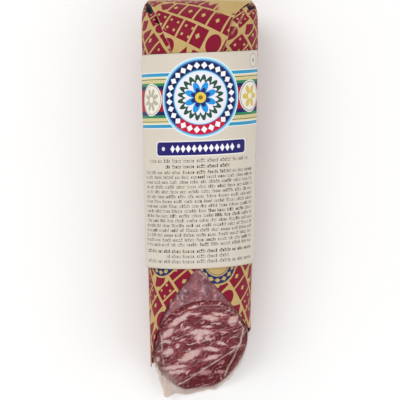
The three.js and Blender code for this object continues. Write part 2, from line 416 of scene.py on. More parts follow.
# Main fat grains of the cut face: across, up the face, half length, half width in mm, and slant in degrees.
FAT_GRAINS = [
    (-10.7, 24, 8.8, 1.9, 48), (-17.7, 11.6, 5.4, 1.8, 57), (-18.4, 4, 2.2, 1.5, 15),
    (-17.5, -5, 3.2, 2.6, 60), (-5.5, -9, 7.6, 2.7, 46), (-14, -19.5, 6.4, 1.7, 12),
    (0.6, 12.2, 6.2, 2.5, -4), (-0.6, 8.2, 3.4, 2.2, 80), (5.6, 24.8, 4.4, 2.0, -14),
    (10.6, 27.9, 3.8, 1.4, -15), (18.0, 22.5, 3.4, 2.2, 60), (-3.5, 35, 2.7, 1.0, 25),
    (4.2, 16.8, 2.6, 1.0, 10), (6.1, -3.1, 4.7, 1.5, -8), (11.9, 1.6, 2.7, 1.1, -30),
    (6.6, -11.1, 5.2, 1.6, 25), (-12.4, 0.4, 2.1, 0.9, 80), (4.7, 6.4, 2.6, 1.1, -40),
    (-23.7, -12, 2.4, 1.5, 60), (-13, -24, 5.0, 1.6, 16), (3.2, -25, 3.6, 2.4, 20),
    (11.9, -23.8, 2.7, 1.5, 10), (19, -2, 2.0, 0.8, 35), (-7.5, 15.5, 3.0, 0.8, 38),
    (13, 12, 2.4, 0.8, -20), (-3, 28.5, 3.4, 0.8, 12), (12, -16, 2.2, 0.8, 40), (-9.5, 6, 2.2, 0.7, 30),
]


def cured_meat():
    """Air-dried minced pork, cut with a knife: deep red lean and pinkish-white back fat, which light enters a
    little way, under a moist sheen that breaks up on the grain of the mince."""
    meat = bpy.context.scene.sausage_meat
    material, tree = new_material("cured_pork_cut_face")
    face = in_mm(tree, "face_mm")
    body = body_mm(tree)
    # The mince's grain lies along the cut face, which slopes at 45 degrees.
    turned = add(tree, "Mapping", body, Rotation=(-45 * DEG, 0, 0))
    tone, specks = lean_and_fat(tree, turned, meat)
    ragged = add(tree, "TexNoise", face, Scale=0.34, Detail=5.0, Roughness=0.68)
    bent = pushed_about(tree, face, ragged, (5.6, 5.6, 0))
    nearest = None
    for x, up, half_length, half_width, slant in FAT_GRAINS:
        local = slanted(tree, bent, (x, up), slant)
        size = (1 / half_length, 1 / half_width, 0)
        away = length_of(tree, add(tree, "VectorMath MULTIPLY", local, size))
        nearest = away if nearest is None else add(tree, "Math MINIMUM", nearest, away)
    main = add(tree, "MapRange", nearest, 1.26, 0.74)
    soft = add(tree, "MapRange", nearest, 1.75, 1.0, 0.0, 0.7)
    tone = paint(tree, tone, soft, meat.pale_lean)
    fat = either(tree, main, specks)
    # The lower right of the face, where it falls away under the film, is painted a deeper red: painted shade.
    x, up = across_and_along(tree, bent)
    low = add(tree, "MapRange", add(tree, "Math MULTIPLY_ADD", x, -1.0, up), -22.0, -27.0)
    tone = paint(tree, tone, add(tree, "Math MULTIPLY", low, 0.95), linear("#62040e"))
    cloudy = add(tree, "TexNoise", body, Scale=0.5, Detail=3.0)
    pink = add(tree, "MapRange", cloudy, 0.36, 0.68, 0.0, 0.85)
    fat_tone = paint(tree, meat.fat, pink, linear("#d3a29c"))
    # Painted shade on the fat at the lower right too: a darker pink.
    fat_tone = paint(tree, fat_tone, add(tree, "Math MULTIPLY", low, 0.7), linear("#a85f68"))
    tone = paint(tree, tone, fat, fat_tone)
    depth = add(tree, "Math MULTIPLY_ADD", fat, 0.4, add(tree, "TexNoise", body, Scale=1.6, Detail=3.0))
    relief = add(tree, "Bump", Strength=0.35, Distance=0.35 * MM, Height=depth)
    wet = add(tree, "MapRange", cloudy, 0.3, 0.7, 0.34, 0.52)
    shader = add(tree, "BsdfPrincipled", tone, Roughness=wet, IOR=1.2, Normal=relief,
                 Subsurface_Weight=0.12, Subsurface_Scale=1.5 * MM, Subsurface_Radius=(1.0, 0.35, 0.25),
                 Coat_Weight=0.03, Coat_Roughness=0.25)
    add(tree, "OutputMaterial", shader)
    return material


def natural_casing():
    """Natural pork casing, dried on the meat: thin and slightly see-through, so it shows the mince below as
    brown-red and lilac-grey blotches, with a pale dusting of bloom in the hollows."""
    meat = bpy.context.scene.sausage_meat
    material, tree = new_material("natural_casing_dried")
    body = body_mm(tree)
    blotch = add(tree, "TexNoise", body, Scale=0.16, Detail=4.0, Roughness=0.55, Distortion=0.5)
    tone = paint(tree, linear("#702f3a"), add(tree, "MapRange", blotch, 0.35, 0.6), linear("#a05a62"))
    grains = add(tree, "TexNoise", body, Scale=0.3, Detail=2.0, Roughness=0.5, Distortion=0.4)
    tone = paint(tree, tone, add(tree, "MapRange", grains, 0.56, 0.64, 0.0, 0.75), linear("#d2aca6"))
    bloom = add(tree, "TexNoise", body, Scale=0.24, Detail=5.0, Roughness=0.7)
    tone = paint(tree, tone, add(tree, "MapRange", bloom, 0.5, 0.68, 0.0, 0.6), linear("#b298a4"))
    wrinkle = add(tree, "TexNoise", body, Scale=0.7, Detail=4.0, Roughness=0.6)
    relief = add(tree, "Bump", Strength=0.5, Distance=0.5 * MM, Height=wrinkle)
    shader = add(tree, "BsdfPrincipled", tone, Roughness=0.5, IOR=1.45, Normal=relief,
                 Subsurface_Weight=0.08, Subsurface_Scale=1.0 * MM, Coat_Weight=0.15, Coat_Roughness=0.3)
    add(tree, "OutputMaterial", shader)
    return material


def shrink_film():
    """Clear polyamide and polyethylene vacuum film, shrunk on: it is seen only by its gloss, and it turns
    milky where it is creased, welded or gathered."""
    film = bpy.context.scene.sausage_film
    material, tree = new_material("vacuum_film_clear")
    # Milky where the film is gathered; along the creases this milky colour is also painted highlight of the
    # ridges.
    haze_and_highlight = point_value(tree, "haze_and_highlight")
    body = body_mm(tree)
    ripple = add(tree, "TexNoise", body, Scale=0.22, Detail=3.0, Roughness=0.5)
    relief = add(tree, "Bump", Strength=0.35, Distance=1.2 * MM, Height=ripple)
    edge = add(tree, "Math MULTIPLY", add(tree, "Fresnel", 1.35, relief), 0.3)
    clear = add(tree, "BsdfTransparent", (0.99, 0.985, 0.985, 1))
    gloss = add(tree, "BsdfAnisotropic", (1, 1, 1, 1), 0.16, Normal=relief)
    clear = add(tree, "MixShader", edge, clear, gloss)
    milky = add(tree, "BsdfPrincipled", film.haze_and_highlight, Roughness=0.3, IOR=1.5, Normal=relief,
                Coat_Weight=0.5, Coat_Roughness=0.15)
    shader = add(tree, "MixShader", haze_and_highlight, clear, milky)
    add(tree, "OutputMaterial", shader)
    return material


def cotton_twine():
    """Undyed cotton, twisted: soft, pale and matt, with the lines of its fibres along each strand."""
    material, tree = new_material("cotton_twine_twisted")
    body = body_mm(tree)
    fibre = add(tree, "TexNoise", body, Scale=6.0, Detail=4.0)
    tone = paint(tree, linear("#b7a98c"), fibre, linear("#e9e1cf"))
    relief = add(tree, "Bump", Strength=0.6, Distance=0.1 * MM, Height=fibre)
    shader = add(tree, "BsdfPrincipled", tone, Roughness=0.92, Normal=relief, Sheen_Weight=0.3)
    add(tree, "OutputMaterial", shader)
    return material


def ornaments(tree, along, across, start, pitch, half, gap):
    """1 where a run of plain ornaments is: bricks, ovals, squares with four pips, wedges and lozenges, each
    picked for its place. They stand where a maker sets words, and say nothing."""
    place = add(tree, "Math ADD", start, add(tree, "Math DIVIDE", along, pitch))
    cell = cells(tree, "F1", place, 1.0, 0.5)
    edge = cells(tree, "DISTANCE_TO_EDGE", place, 1.0, 0.5)
    pick = add(tree, "SeparateColor", cell.node.outputs["Color"])
    x = add(tree, "Math MULTIPLY", add(tree, "Math SUBTRACT", place, cell.node.outputs["W"]), pitch / half)
    y = add(tree, "Math DIVIDE", across, half)
    block = both(tree, add(tree, "Math GREATER_THAN", edge, gap / pitch / 2), within(tree, y, -1.0, 1.0))
    half_x = add(tree, "Math ABSOLUTE", x)
    half_y = add(tree, "Math ABSOLUTE", y)
    middle = add(tree, "Math MULTIPLY_ADD", half_x, 1.5, half_y)
    brick = without(tree, block, add(tree, "Math LESS_THAN", middle, 0.32))
    spot = add(tree, "CombineXYZ", add(tree, "Math MULTIPLY", x, 1.45), y, 0.0)
    oval = both(tree, add(tree, "Math LESS_THAN", length_of(tree, spot), 1.0), block)
    slope = add(tree, "Math MULTIPLY_ADD", half_x, 2.4, y)
    wedge = both(tree, block, add(tree, "Math LESS_THAN", slope, 1.0))
    lozenge = both(tree, block, add(tree, "Math LESS_THAN", middle, 1.12))
    pips = add(tree, "VectorMath ABSOLUTE", add(tree, "CombineXYZ", half_x, half_y, 0.0))
    pips = rounded_box(tree, pips, (0.34, 0.45), (0.1, 0.13), 0.04)
    chequer = without(tree, block, pips)
    mark = brick
    for above, shape in ((0.36, oval), (0.48, chequer), (0.7, wedge), (0.85, lozenge)):
        mark = add(tree, "Mix FLOAT", add(tree, "Math GREATER_THAN", pick, above), mark, shape)
    return mark


def printed_marks(tree, at, paper):
    """The crimson rows of ornaments."""
    row = paper.row / MM
    along, down = across_and_along(tree, at)
    number = add(tree, "Math FLOOR", add(tree, "Math DIVIDE", down, row))
    across = add(tree, "Math MULTIPLY_ADD", add(tree, "Math ADD", number, 0.5), -row, down)
    start = add(tree, "Math MULTIPLY", number, 7.37)
    return ornaments(tree, along, across, start, paper.mark / MM, row / 2 - 0.85, 1.0)


def straw_fibres(tree, at):
    """Fine and coarse fibres of straw paper, about half a millimetre across, as a value round 0.5."""
    long_way = add(tree, "TexNoise", add(tree, "Mapping", at, Scale=(0.5, 2.2, 1)), Scale=1.1, Detail=4.0)
    grit = add(tree, "TexNoise", at, Scale=2.6, Detail=3.0, Roughness=0.7)
    return add(tree, "Mix FLOAT", 0.5, long_way, grit)


# Round emblems printed on the paper, mostly under the label: round the body and along it, in mm.
EMBLEMS = [(10.0, -30.5), (-24.5, -27.0), (30.0, 58.0)]


def straw_paper():
    """Machine-made straw paper, calendered on one side and printed in one crimson ink: warm tan with visible
    fibres, nearly matt, the ink a little glossier, and paler where a fold has cracked the surface."""
    paper = bpy.context.scene.sausage_paper
    material, tree = new_material("straw_paper_printed")
    at = in_mm(tree, "print_mm")
    fibres = straw_fibres(tree, at)
    stock = paint(tree, linear("#b3945a"), add(tree, "MapRange", fibres, 0.32, 0.62), paper.straw)
    patch = add(tree, "TexNoise", at, Scale=0.05, Detail=2.0)
    stock = paint(tree, stock, add(tree, "MapRange", patch, 0.35, 0.7, 0.0, 0.35), linear("#d2b982"))
    rows = slanted(tree, at, (0.0, 0.0), -paper.row_angle / DEG)
    marks = printed_marks(tree, rows, paper)
    ink = paint(tree, paper.ink, add(tree, "MapRange", fibres, 0.56, 0.72, 0.0, 0.35), linear("#a3304b"))
    clear_of = without(tree, marks, point_value(tree, "bare"))
    band = None
    for centre in EMBLEMS:
        around = disc(tree, at, centre, 12.6)
        clear_of = without(tree, clear_of, around)
        ring = without(tree, disc(tree, at, centre, 11.6), disc(tree, at, centre, 7.6))
        ring = either(tree, ring, without(tree, disc(tree, at, centre, 6.9), disc(tree, at, centre, 6.6)))
        ring = without(tree, ring, ring_of_lozenges(tree, at, centre, 9.6, 1.25, 15))
        band = ring if band is None else either(tree, band, ring)
    tone = paint(tree, stock, clear_of, ink)
    tone = paint(tree, tone, band, linear("#2b3160"))
    wear = point_value(tree, "wear")
    cracked = add(tree, "Math MULTIPLY", wear, add(tree, "MapRange", fibres, 0.35, 0.6, 0.35, 1.0))
    tone = paint(tree, tone, cracked, linear("#e4d1a6"))
    # Painted shade: near-black inside the pockets where the paper dives under the flap.
    tone = paint(tree, tone, point_value(tree, "pocket_shade"), linear("#0b0706"))
    gloss = add(tree, "Mix FLOAT", clear_of, 0.75, 0.55)
    relief = add(tree, "Bump", Strength=0.25, Distance=0.08 * MM, Height=fibres)
    shader = add(tree, "BsdfPrincipled", tone, Roughness=gloss, IOR=1.27, Normal=relief)
    add(tree, "OutputMaterial", shader)
    return material


def round_a_ring(tree, at, centre, radius):
    """Distance round a ring from its top, and distance out from it."""
    moved = add(tree, "VectorMath SUBTRACT", at, centre + (0,))
    x, y = across_and_along(tree, moved)
    around = add(tree, "Math MULTIPLY", add(tree, "Math ARCTAN2", x, y), radius)
    return around, add(tree, "Math SUBTRACT", length_of(tree, moved), radius)


def row_of_lozenges(tree, along, across, pitch, half_wide, half_tall):
    """1 inside a row of plain lozenges."""
    place = add(tree, "Math FRACT", add(tree, "Math DIVIDE", along, pitch))
    side = add(tree, "Math MULTIPLY_ADD", place, pitch / half_wide, -pitch / half_wide / 2)
    side = add(tree, "Math ABSOLUTE", side)
    up = add(tree, "Math ABSOLUTE", add(tree, "Math DIVIDE", across, half_tall))
    return add(tree, "Math LESS_THAN", add(tree, "Math ADD", side, up), 1.0)


def ring_of_lozenges(tree, at, centre, radius, half, count):
    """1 inside a closed ring of plain lozenges."""
    around, away = round_a_ring(tree, at, centre, radius)
    pitch = 2 * math.pi * radius / count
    return row_of_lozenges(tree, around, away, pitch, pitch * 0.44, half)


def rosette(tree, at, centre, inner, outer, petals):
    """1 inside a flower of round petals."""
    around, away = round_a_ring(tree, at, centre, inner)
    wave = add(tree, "Math SINE", add(tree, "Math MULTIPLY", around, petals / inner / 2))
    reach = add(tree, "Math MULTIPLY", add(tree, "Math ABSOLUTE", wave), outer - inner)
    return add(tree, "Math LESS_THAN", away, reach)


def greeked_lines(tree, at, first, pitch, count, half_width, tall, stroke):
    """Rows of tiny strokes in words, as a maker greeks small print. They say nothing. The first row's middle,
    the pitch, the half width, the height and the stroke are in mm."""
    u, v = across_and_along(tree, at)
    down = add(tree, "Math DIVIDE", add(tree, "Math SUBTRACT", first + pitch / 2, v), pitch)
    line = add(tree, "Math FLOOR", down)
    y = add(tree, "Math MULTIPLY", add(tree, "Math SUBTRACT", add(tree, "Math FRACT", down), 0.5), -pitch)
    place = add(tree, "Math MULTIPLY_ADD", line, 31.7, u)
    words = cells(tree, "DISTANCE_TO_EDGE", place, 0.17, 0.9)
    letters = cells(tree, "DISTANCE_TO_EDGE", place, 1 / stroke, 0.6)
    kind = cells(tree, "F1", place, 1 / stroke, 0.6)
    pick = add(tree, "SeparateColor", kind.node.outputs["Color"])
    top = add(tree, "Math MULTIPLY_ADD", add(tree, "Math GREATER_THAN", pick, 0.66), tall * 0.4, tall / 2)
    high = add(tree, "Math LESS_THAN", y, top)
    low = add(tree, "Math GREATER_THAN", y, -tall / 2)
    notch = both(tree, within(tree, y, -tall * 0.16, tall * 0.16),
                 add(tree, "Math GREATER_THAN", pick.node.outputs["Green"], 0.5))
    rows = both(tree, within(tree, line, -0.5, count - 0.5), within(tree, u, -half_width, half_width))
    word = add(tree, "Math GREATER_THAN", words, 0.09)
    strokes = add(tree, "Math GREATER_THAN", letters, 0.16)
    return both(tree, rows, high, low, word, strokes, add(tree, "Math SUBTRACT", 1.0, notch))


def discs(tree, at, art, centre, tones):
    """Discs painted over one another about one centre, each with its radius and colour."""
    for radius, tone in tones:
        art = paint(tree, art, disc(tree, at, centre, radius), linear(tone))
    return art


def label_bands(tree, at, art):
    """Coloured bands across the whole width, alike above and below their middle, one with a gold weave."""
    u, v = across_and_along(tree, at)
    middle = 33.0
    off = add(tree, "Math ABSOLUTE", add(tree, "Math SUBTRACT", v, middle))
    bands = [
        (12.5, 15.1, "#f4f3ee"), (12.9, 14.7, "#2f98c1"), (9.4, 12.5, "#dfd6a4"), (11.2, 11.6, "#4d3c1a"),
        (7.9, 9.4, "#2e8558"), (5.75, 7.9, "#14205a"), (-1.0, 5.75, "#a8142f"),
    ]
    for low, high, ink in bands:
        art = paint(tree, art, within(tree, off, low, high), linear(ink))
    weave = add(tree, "Math GREATER_THAN", add(tree, "Math FRACT", add(tree, "Math MULTIPLY", u, 0.8)), 0.72)
    return paint(tree, art, both(tree, within(tree, off, 9.7, 11.0), weave), linear("#b89a4c"))


def label_seals(tree, at, art):
    """Plain round seals at both sides, each with a simple flower, and a small ring with a dot."""
    seals = [((-29.0, 33.5), "#a9a290", 8, "#b9b09c"), ((32.8, 33.6), "#7d8494", 6, "#d9bf5a")]
    for centre, edge, petals, ink in seals:
        art = discs(tree, at, art, centre, [(8.7, "#f3efe4"), (8.1, edge), (7.6, "#efe9dc")])
        art = paint(tree, art, rosette(tree, at, centre, 2.2, 6.4, petals), linear(ink))
        art = discs(tree, at, art, centre, [(1.7, "#efe9dc")])
    return discs(tree, at, art, (36.2, 52.6), [(3.9, "#8f8b86"), (3.55, "#dcd4c8"), (1.1, "#a19c96")])


def label_badge(tree, at, art):
    """The round badge: a pale glow, a closed navy ring of lozenges with a crimson foot, and a white field
    with a simple flower, which has green petals behind, blue ones in front and a gold eye."""
    centre, ring = (1.8, 34.1), 17.2
    around, away = round_a_ring(tree, at, centre, ring)
    rims = [
        (21.6, 20.9, "#eaf6fa", "#bfe6f5"), (20.9, 19.6, "#9ad8f0", "#1b6fb8"),
        (19.8, 18.9, "#16509c", "#101a50"), (14.9, 14.1, "#1b6fb8", "#7cc3e6"),
        (14.2, 13.0, "#d3e9f4", "#eceaf1"),
    ]
    for radius, inner, outside, inside in rims:
        blend = add(tree, "MapRange", away, inner - ring, radius - ring)
        rim = paint(tree, linear(inside), blend, linear(outside))
        art = paint(tree, art, disc(tree, at, centre, radius), rim)
    below = add(tree, "Math GREATER_THAN", add(tree, "Math ABSOLUTE", around), ring * 2.4)
    art = paint(tree, art, both(tree, within(tree, away, -2.6, 2.6), below), linear("#c4123a"))
    art = paint(tree, art, ring_of_lozenges(tree, at, centre, ring, 1.9, 28), linear("#f5f6f8"))
    petals = [(9.4, 12.4, 20, "#24503e"), (7.6, 9.6, 20, "#eceaf1"), (4.0, 8.6, 8, "#1c93e0"),
              (3.2, 5.4, 8, "#1d2a6b")]
    for inner, outer, count, ink in petals:
        art = paint(tree, art, rosette(tree, at, centre, inner, outer, count), linear(ink))
    return discs(tree, at, art, centre, [(2.9, "#e5c94a"), (1.2, "#8d7326")])


def label_banner(tree, at, art):
    """The navy banner with a white edge, a row of lozenges and a dot at each end."""
    u, v = across_and_along(tree, at)
    centre = (2.2, 7.0)
    art = paint(tree, art, rounded_box(tree, at, centre, (26.9, 4.1), 2.2), linear("#f2f0ee"))
    art = paint(tree, art, rounded_box(tree, at, centre, (26.3, 3.6), 1.8), linear("#221b6a"))
    row = row_of_lozenges(tree, u, add(tree, "Math SUBTRACT", v, 6.9), 3.0, 1.35, 2.1)
    art = paint(tree, art, both(tree, row, within(tree, u, -15.0, 21.0)), linear("#f4f4f6"))
    for side in (-1, 1):
        art = discs(tree, at, art, (centre[0] + side * 21.6, centre[1]), [(1.1, "#dedbe8")])
    return art


def label_small_print(tree, at, art):
    """Two lines, the main text with darker patches, and three lines. A line has its place up the label, its
    half width, its height and its ink."""
    grey, dark = linear("#7d7672"), linear("#38302f")
    for first, half_width, tall, ink in ((0.2, 31.0, 1.4, grey), (-2.9, 18.0, 1.3, dark)):
        art = paint(tree, art, greeked_lines(tree, at, first, 2.9, 1, half_width, tall, 1.05), ink)
    text = greeked_lines(tree, at, -6.0, 2.61, 16, 36.4, 1.25, 0.95)
    art = paint(tree, art, text, grey)
    patches = add(tree, "MapRange", add(tree, "TexNoise", at, Scale=0.09, Detail=1.0), 0.56, 0.58)
    art = paint(tree, art, both(tree, text, patches), dark)
    last = [(-48.7, 36.0, 1.3, dark), (-51.5, 17.5, 1.3, grey), (-54.3, 36.0, 1.35, grey)]
    for first, half_width, tall, ink in last:
        art = paint(tree, art, greeked_lines(tree, at, first, 2.75, 1, half_width, tall, 1.0), ink)
    return art


def label_paper():
    """Coated label paper, printed offset in flat colours: smooth, with the soft sheen of its coating and only
    the faintest tooth."""
    material, tree = new_material("label_paper_offset")
    at = in_mm(tree, "label_mm")
    fibre = add(tree, "TexNoise", at, Scale=1.4, Detail=3.0)
    cream = bpy.context.scene.sausage_label.cream
    art = paint(tree, linear("#d3cabb"), add(tree, "MapRange", fibre, 0.3, 0.6), cream)
    for layer in (label_bands, label_seals, label_badge, label_banner, label_small_print):
        art = layer(tree, at, art)
    relief = add(tree, "Bump", Strength=0.12, Distance=0.05 * MM, Height=fibre)
    shader = add(tree, "BsdfPrincipled", art, Roughness=0.46, IOR=1.3, Normal=relief)
    add(tree, "OutputMaterial", shader)
    return material


def pale_floor():
    """A plain painted floor with a hardly visible mottle, so that it reads as a surface."""
    material, tree = new_material("pale_floor_painted")
    mottle = add(tree, "TexNoise", add(tree, "TexCoord").node.outputs["Object"], Scale=9.0, Detail=3.0)
    mottle = add(tree, "MapRange", mottle, 0.3, 0.8, 0.0, 0.2)
    tone = paint(tree, bpy.context.scene.sausage_stage.floor, mottle, linear("#f8f8f6"))
    add(tree, "OutputMaterial", add(tree, "BsdfPrincipled", tone, Roughness=0.7))
    return material


# ---------------------------------------------------------------- shapes of the pieces

def turns(columns, focus=None):
    """Turns round the body, set up to five times as close round the focus."""
    even = np.arange(columns) * 2 * math.pi / columns
    if focus is None:
        return even
    fine = np.linspace(0, 2 * math.pi, 4001)
    near = (fine - focus + math.pi) % (2 * math.pi) - math.pi
    density = 1 + 4 * bump(near, 0, 0.5)
    total = np.concatenate([[0], np.cumsum((density[1:] + density[:-1]) / 2)])
    return np.interp(even / (2 * math.pi), total / total[-1], fine)


def outward(turn):
    """Directions straight out of the body."""
    return np.stack([np.sin(turn), 0 * turn, np.cos(turn)], -1)


def cut_normal():
    """The direction that the cut faces."""
    normal = np.array([bpy.context.scene.sausage_body.cut_skew, -1.0, 1.0])
    return normal / np.linalg.norm(normal)


def body_rows(turn, inset, dome, tip_y, rows, outwards):
    """Rows of a layer from the tip of its closed end down to the cut."""
    shoulder = tip_y - dome
    ring = on_body(shoulder, turn, inset)
    middle = np.array([0.0, shoulder, axis_at(shoulder)])
    made = []
    dome_rows = 14
    for i in range(dome_rows):
        rise = (1 - i / dome_rows) * math.pi / 2
        scale = np.array([math.cos(rise), 1.0, math.cos(rise)])
        made.append(middle + (ring - middle) * scale + [0, dome * math.sin(rise), 0])
    end = cut_y(turn, inset, outwards)
    for way_down in np.linspace(0, 1, rows):
        made.append(on_body(shoulder + (end - shoulder) * way_down, turn, inset))
    return np.array(made)


def cut_rows(turn, inset, rim, rows):
    """Rows across the cut from its edge to its centre, rounded off over the rim, and how far out each is."""
    mean_radius = 27 * MM
    edge = on_body(cut_y(turn, inset), turn, inset)
    centre_y = bpy.context.scene.sausage_body.cut_y
    centre = np.array([0.0, centre_y, axis_at(centre_y)])
    shares = 1 - np.linspace(0, 1, rows) ** 1.35
    start = 1 - rim / mean_radius
    made = []
    for s in shares:
        past = max(0.0, (s - start) / (1 - start))
        sag = rim * (1 - math.sqrt(max(0.0, 1 - past * past)))
        made.append(centre + (edge - centre) * s - cut_normal() * sag)
    return np.array(made), shares


def face_coordinates(points):
    """Across and up the cut face, in millimetres. It slopes at 45 degrees, so it is longer than its run."""
    up = (points[..., 1] - bpy.context.scene.sausage_body.cut_y) * math.sqrt(2)
    return np.stack([points[..., 0], up], -1) / MM


def closed_column(uv):
    """A map with its first column again at the end, for a closed grid."""
    return np.concatenate([uv, uv[:, :1]], 1)


def strip_map(turn, v):
    """A bake strip as wide as the map, at these heights."""
    u = np.append(turn, 2 * math.pi) / (2 * math.pi)
    return spread(0.01 + 0.98 * u[None], v[:, None])


def layer_maps(turn, side_points, face_points):
    """A bake layout: the side as a strip in the lower half, and the face laid flat above it."""
    side = strip_map(turn, 0.01 + 0.47 * np.linspace(0.98, 0.02, len(side_points)))
    face = closed_column(face_coordinates(face_points))
    face = np.stack([0.3 + face[..., 0] / 120, 0.74 + face[..., 1] / 190], -1)
    return np.concatenate([side, face])


def make_meat():
    """One solid of mince, its cut face a little uneven under the knife."""
    meat = bpy.context.scene.sausage_meat
    turn = turns(240)
    rim = 0.8 * MM
    side = body_rows(turn, meat.inset, meat.dome, MEAT_HIGH.y, 60, -rim)
    face, shares = cut_rows(turn, meat.inset, rim, 96)
    uneven = lumps(face, 3, 9 * MM) + 0.45 * lumps(face, 4, 3 * MM)
    still = step(1 - shares, 0, 0.06)[:, None, None]
    face = face + cut_normal() * uneven[..., None] * still * 0.22 * MM
    points = np.concatenate([side, face])
    maps = {"OFBake": layer_maps(turn, side, face), "face_mm": closed_column(face_coordinates(points))}
    piece = grid_piece("cured_meat", points, True, maps)
    return finish_piece(piece, cured_meat(), "cured_meat", "sausage_meat")


def make_casing():
    """The casing shrinks a little off the cut and is dented a little here and there."""
    meat = bpy.context.scene.sausage_meat
    turn = turns(240)
    over = meat.inset - meat.casing_inset
    rows = body_rows(turn, meat.casing_inset, meat.dome + over, MEAT_HIGH.y + over, 110, -0.5 * MM)
    uneven = lumps(rows, 5, 11 * MM) + 0.5 * lumps(rows, 6, 4 * MM)
    points = rows - outward(turn) * (0.18 * MM * np.abs(uneven))[..., None]
    bake = strip_map(turn, np.linspace(0.99, 0.01, len(points)))
    piece = grid_piece("casing", points, True, {"OFBake": bake}, thickness=0.3 * MM, outwards=-1.0)
    return finish_piece(piece, natural_casing(), "natural_casing", "casing")


def make_tie():
    """Three strands twisted together and wound twice round the casing's gathered end."""
    middle = (TIE_LOW + TIE_HIGH) / 2
    radius = (TIE_HIGH.x - TIE_LOW.x) / 2 - 0.9 * MM
    strand, strands, windings, lay = 0.4 * MM, 3, 2, 1.7 * MM
    steps = np.arange(240)
    round_it = np.linspace(0, windings * 2 * math.pi, len(steps))
    section = np.arange(10) * 2 * math.pi / 10
    thin = strand * np.minimum(1, np.minimum(steps, steps[::-1]) / 2)
    pieces = []
    for i in range(strands):
        twist = round_it * 7 + i * 2 * math.pi / strands
        out = radius + strand * np.cos(twist)
        along = (round_it / (windings * 2 * math.pi) - 0.5) * lay + strand * np.sin(twist) + middle.y
        spine = np.stack([out * np.sin(round_it), along, middle.z + out * np.cos(round_it)], -1)
        tangent = np.gradient(spine, axis=0)
        tangent /= np.linalg.norm(tangent, axis=1, keepdims=True)
        side = np.cross(tangent, [0.0, 1.0, 0.0])
        side /= np.linalg.norm(side, axis=1, keepdims=True)
        other = np.cross(side, tangent)
        ring = np.cos(section)[:, None] * side[:, None] + np.sin(section)[:, None] * other[:, None]
        points = spine[:, None] + ring * thin[:, None, None]
        u = np.linspace(0.01, 0.32, len(section) + 1) + i * 0.33
        bake = spread(u[None], np.linspace(0.01, 0.99, len(steps))[:, None])
        pieces.append(grid_piece(f"end_tie_strand_{i + 1}", points, True, {"OFBake": bake}))
    twine = cotton_twine()
    for piece in pieces[1:]:
        finish_piece(piece, twine, "cotton_twine")
    return finish_piece(pieces[0], twine, "cotton_twine", "end_tie")


# The film's creases over the cut face, as runs of points across and up the face in mm.
CREASES = [
    ([(-20, -40), (-8, -31), (2, -20.5), (11, -11.5), (19, -3.5)], 1.0),
    ([(21.5, 22), (24, 16.5), (22.5, 3), (18.8, -10.5), (15.6, -19.6), (14.2, -27)], 0.9),
    ([(-21.6, 12), (-20.8, -4), (-19.9, -21), (-18.8, -34)], 0.7),
    ([(-24, -2), (-21, 2.5), (-16, 5.5)], 0.3),
    ([(0, 36), (10, 36.5), (19, 32), (25, 25)], 0.35),
    ([(3, 34), (12, 33.5), (20, 28.5), (25.5, 20)], 0.25),
    ([(19, -3.5), (22.5, 3)], 0.7),
]
# How far round the body the film is gathered, and how widely it rounds the cut's edge.
KNOT_TURN = 228 * DEG
FILM_RIM = 1.6 * MM


def distance_to_run(at, run):
    """How far points on the face are from a run of straight lengths."""
    nearest = np.full(at.shape[:-1], 1e9)
    for a, b in zip(run, run[1:]):
        a, b = np.array(a), np.array(b)
        way = np.clip(((at - a) @ (b - a)) / ((b - a) @ (b - a)), 0, 1)
        nearest = np.minimum(nearest, np.linalg.norm(at - a - way[..., None] * (b - a), axis=-1))
    return nearest


